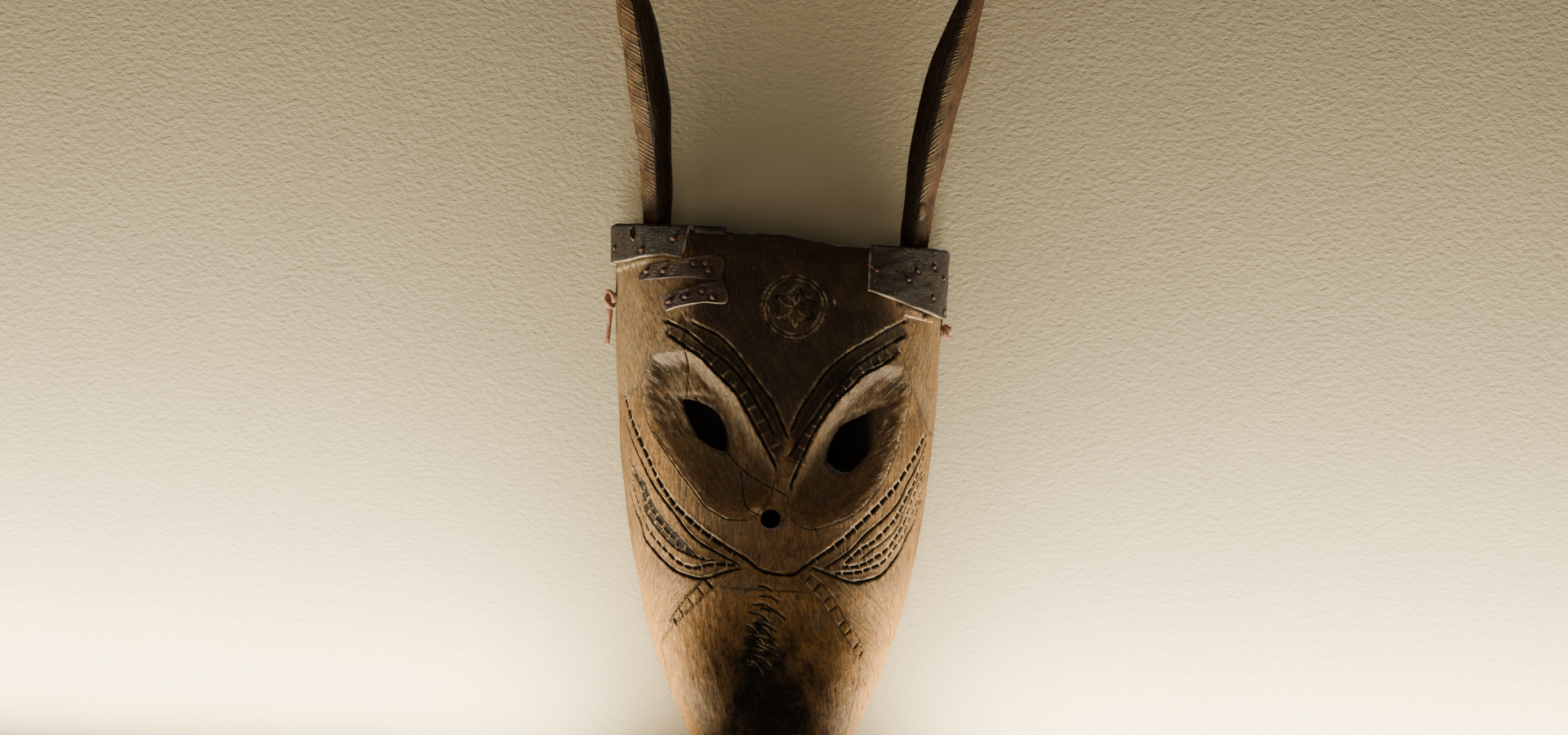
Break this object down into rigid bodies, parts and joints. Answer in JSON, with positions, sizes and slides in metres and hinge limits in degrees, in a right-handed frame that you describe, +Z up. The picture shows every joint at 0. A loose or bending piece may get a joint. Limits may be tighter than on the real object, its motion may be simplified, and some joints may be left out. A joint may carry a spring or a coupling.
{
  "type": "carved wooden mask",
  "caption": "Horned ox face mask carved in dark wood, hollow behind, with eye holes, nailed leather patches on its top corners and a leather lace.",
  "frame": {"origin": "midway between the two lace holes, on the plane of the flat back edge", "axes": "+Z up along the face, the face looks towards -Y, +X is the viewer's right"},
  "size_m": [0.2062, 0.122, 0.473],
  "materials": {
    "face_wood": "dark brown carved wood, hand-rubbed, sooted on the forehead and muzzle",
    "horn_wood": "knife-cut wood, brown with ochre facets, lightly polished",
    "patch_leather": "old black leather, dry and cracked, pale cut edges",
    "lace_leather": "rust-orange rawhide lace, matt",
    "old_iron": "rusted hand-cut iron"
  },
  "bodies": {
    "mask": {"face_shell": "face_wood", "horn_left": "horn_wood", "horn_nail_left": "old_iron", "horn_nail_right": "old_iron", "horn_right": "horn_wood", "knot_left": "lace_leather", "knot_right": "lace_leather", "lace": "lace_leather", "nail_left": "old_iron", "nail_right": "old_iron", "patch_left_brow": "patch_leather", "patch_left_corner": "patch_leather", "patch_right_corner": "patch_leather", "patch_right_scrap": "patch_leather", "rim_strip": "patch_leather", "tack_left_brow_1": "old_iron", "tack_left_brow_2": "old_iron", "tack_left_brow_3": "old_iron", "tack_left_brow_4": "old_iron", "tack_left_brow_5": "old_iron", "tack_left_brow_6": "old_iron", "tack_left_brow_7": "old_iron", "tack_left_brow_8": "old_iron", "tack_left_brow_9": "old_iron", "tack_left_corner_1": "old_iron", "tack_left_corner_2": "old_iron", "tack_left_corner_3": "old_iron", "tack_right_corner_1": "old_iron", "tack_right_corner_2": "old_iron", "tack_right_corner_3": "old_iron", "tack_right_corner_4": "old_iron", "tack_right_corner_5": "old_iron", "tack_right_corner_6": "old_iron", "tack_right_scrap_1": "old_iron", "tack_rim_strip": "old_iron"},
    "lace_end": {"lace_end": "lace_leather"}
  },
  "joints": [
    {"name": "lace_end_swing", "type": "hinge", "parent": "mask", "child": "lace_end", "pos_m": [-0.09498, -0.018, 0.0045], "axis": [1, 0, 0], "range_deg": [-45, 45]}
  ]
}
